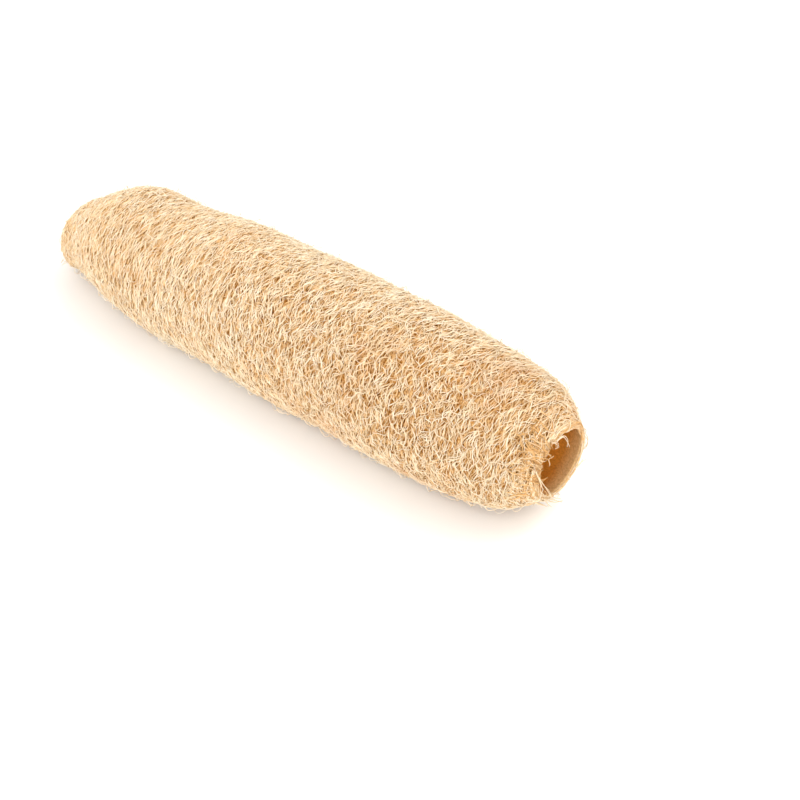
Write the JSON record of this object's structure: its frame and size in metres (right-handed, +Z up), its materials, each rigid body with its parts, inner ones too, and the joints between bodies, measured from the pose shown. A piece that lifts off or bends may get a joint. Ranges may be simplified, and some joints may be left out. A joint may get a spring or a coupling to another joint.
{
  "type": "natural loofah sponge",
  "caption": "Long hollow sponge of dried gourd fibre with a raised net all over it, a closed drooping tip and a torn open mouth, for scrubbing and washing.",
  "frame": {"origin": "under the middle of the body, on the surface it rests on", "axes": "+X along the body towards the open mouth, +Z up, +Y towards the side away from the torn lip"},
  "size_m": [0.291, 0.0694, 0.0664],
  "materials": {
    "dried_fibre": "dry matte plant fibre, pale straw on top and deeper tan in the pits and in the hollow"
  },
  "bodies": {
    "root": {"loofah_sponge": "dried_fibre"}
  },
  "joints": []
}
